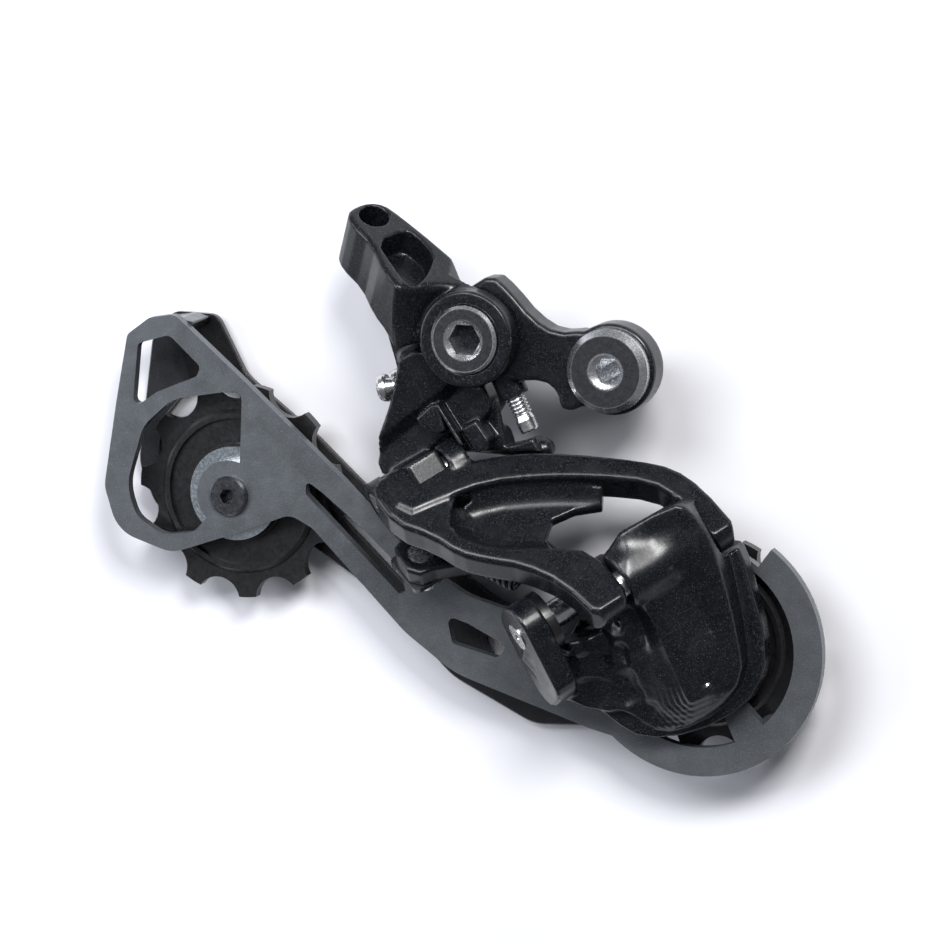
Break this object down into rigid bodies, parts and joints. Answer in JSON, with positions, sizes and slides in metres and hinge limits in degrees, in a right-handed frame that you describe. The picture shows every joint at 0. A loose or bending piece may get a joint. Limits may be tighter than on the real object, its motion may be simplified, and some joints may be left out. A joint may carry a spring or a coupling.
{
  "type": "rear bicycle derailleur",
  "caption": "Long-cage rear derailleur with a direct bracket, sprung parallelogram, swinging cage and two toothed jockey wheels.",
  "frame": {"origin": "on the mounting bolt axis, at the bracket face that meets the frame hanger", "axes": "+Z outboard along the mounting bolt, +X forward on the bike, +Y up"},
  "size_m": [0.1577, 0.1157, 0.0411],
  "materials": {
    "cast_black": "satin black paint with a fine metallic sparkle on die-cast aluminium",
    "cage_grey": "slate grey metallic paint",
    "plate_black": "black paint on pressed steel",
    "bolt_dark": "dark plated steel",
    "steel": "bright zinc-plated steel",
    "pulley_plastic": "moulded black nylon",
    "zinc": "blue zinc plate",
    "spring_steel": "dark oil-tempered wire"
  },
  "bodies": {
    "bracket": {"bracket": "cast_black", "b_axle_bolt": "bolt_dark", "b_washer": "plate_black"},
    "mounting_bolt": {"mounting_bolt": "bolt_dark"},
    "b_tension_screw": {"b_tension_screw": "steel"},
    "b_knuckle": {"b_knuckle": "cast_black", "pin_body_outer": "steel", "pin_body_inner": "steel", "return_spring": "spring_steel"},
    "limit_screw_high": {"limit_screw_high": "steel"},
    "limit_screw_low": {"limit_screw_low": "steel"},
    "outer_link": {"outer_link": "cast_black"},
    "inner_link": {"inner_link": "cast_black"},
    "cable_clamp": {"cable_clamp_bolt": "steel", "cable_clamp_washer": "plate_black"},
    "p_knuckle": {"p_knuckle": "cast_black", "p_axle_grub": "steel", "pin_cage_outer": "steel", "pin_cage_inner": "steel", "spring_collar": "pulley_plastic", "cage_spring": "spring_steel"},
    "cage": {"p_axle": "steel", "cage_plate_outer": "cage_grey", "cage_plate_inner": "plate_black", "cage_stop_pin": "plate_black", "guide_bush": "steel", "tension_bush": "steel", "guide_dust_caps": "zinc", "tension_dust_caps": "zinc", "guide_bolt": "bolt_dark", "tension_bolt": "bolt_dark"},
    "guide_pulley": {"guide_pulley": "pulley_plastic"},
    "tension_pulley": {"tension_pulley": "pulley_plastic"}
  },
  "joints": [
    {"name": "mounting_bolt_turn", "type": "hinge", "parent": "bracket", "child": "mounting_bolt", "pos_m": [0, 0, 0.003], "axis": [0, 0, 1], "continuous": true},
    {"name": "b_tension_travel", "type": "slide", "parent": "bracket", "child": "b_tension_screw", "axis": [0.4202, -0.9054, -0.06], "range_m": [-0.002, 0.0006]},
    {"name": "b_axle", "type": "hinge", "parent": "bracket", "child": "b_knuckle", "pos_m": [-0.029, 0.0053, 0.009], "axis": [0, 0, 1], "range_deg": [-15, 0]},
    {"name": "limit_high_travel", "type": "slide", "parent": "b_knuckle", "child": "limit_screw_high", "axis": [-0.974, -0.2209, 0.0502], "range_m": [0, 0.003]},
    {"name": "limit_low_travel", "type": "slide", "parent": "b_knuckle", "child": "limit_screw_low", "axis": [-0.974, -0.2209, 0.0502], "range_m": [0, 0.003]},
    {"name": "outer_link_swing", "type": "hinge", "parent": "b_knuckle", "child": "outer_link", "pos_m": [-0.0379, -0.02448, 0.00871], "axis": [0.6667, 0.4582, -0.5878], "range_deg": [0, 42], "stiffness_Nm_per_rad": 0.35, "springref_deg": -34.38, "deforming": ["return_spring"]},
    {"name": "inner_link_swing", "type": "hinge", "parent": "b_knuckle", "child": "inner_link", "pos_m": [-0.04775, -0.02882, -0.00585], "axis": [0.6667, 0.4582, -0.5878], "range_deg": [0, 42]},
    {"name": "cable_clamp_travel", "type": "slide", "parent": "inner_link", "child": "cable_clamp", "axis": [-0.1688, -0.6754, -0.7179], "range_m": [0, 0.0008]},
    {"name": "p_knuckle_swing", "type": "hinge", "parent": "outer_link", "child": "p_knuckle", "pos_m": [0.0116, -0.03717, 0.00902], "axis": [0.6667, 0.4582, -0.5878], "range_deg": [-42, 0]},
    {"name": "cage_pivot", "type": "hinge", "parent": "p_knuckle", "child": "cage", "pos_m": [0.015, -0.058, 0], "axis": [0, 0, 1], "range_deg": [0, 115], "stiffness_Nm_per_rad": 0.35, "springref_deg": -45.84, "deforming": ["cage_spring"]},
    {"name": "guide_pulley_spin", "type": "hinge", "parent": "cage", "child": "guide_pulley", "pos_m": [0.015, -0.058, -0.0111], "axis": [0, 0, 1], "continuous": true},
    {"name": "tension_pulley_spin", "type": "hinge", "parent": "cage", "child": "tension_pulley", "pos_m": [-0.0876, -0.0332, -0.0111], "axis": [0, 0, 1], "continuous": true}
  ],
  "couplings": [
    {"joint": "inner_link_swing", "follows": "outer_link_swing", "ratio": 1},
    {"joint": "p_knuckle_swing", "follows": "outer_link_swing", "ratio": -1}
  ]
}
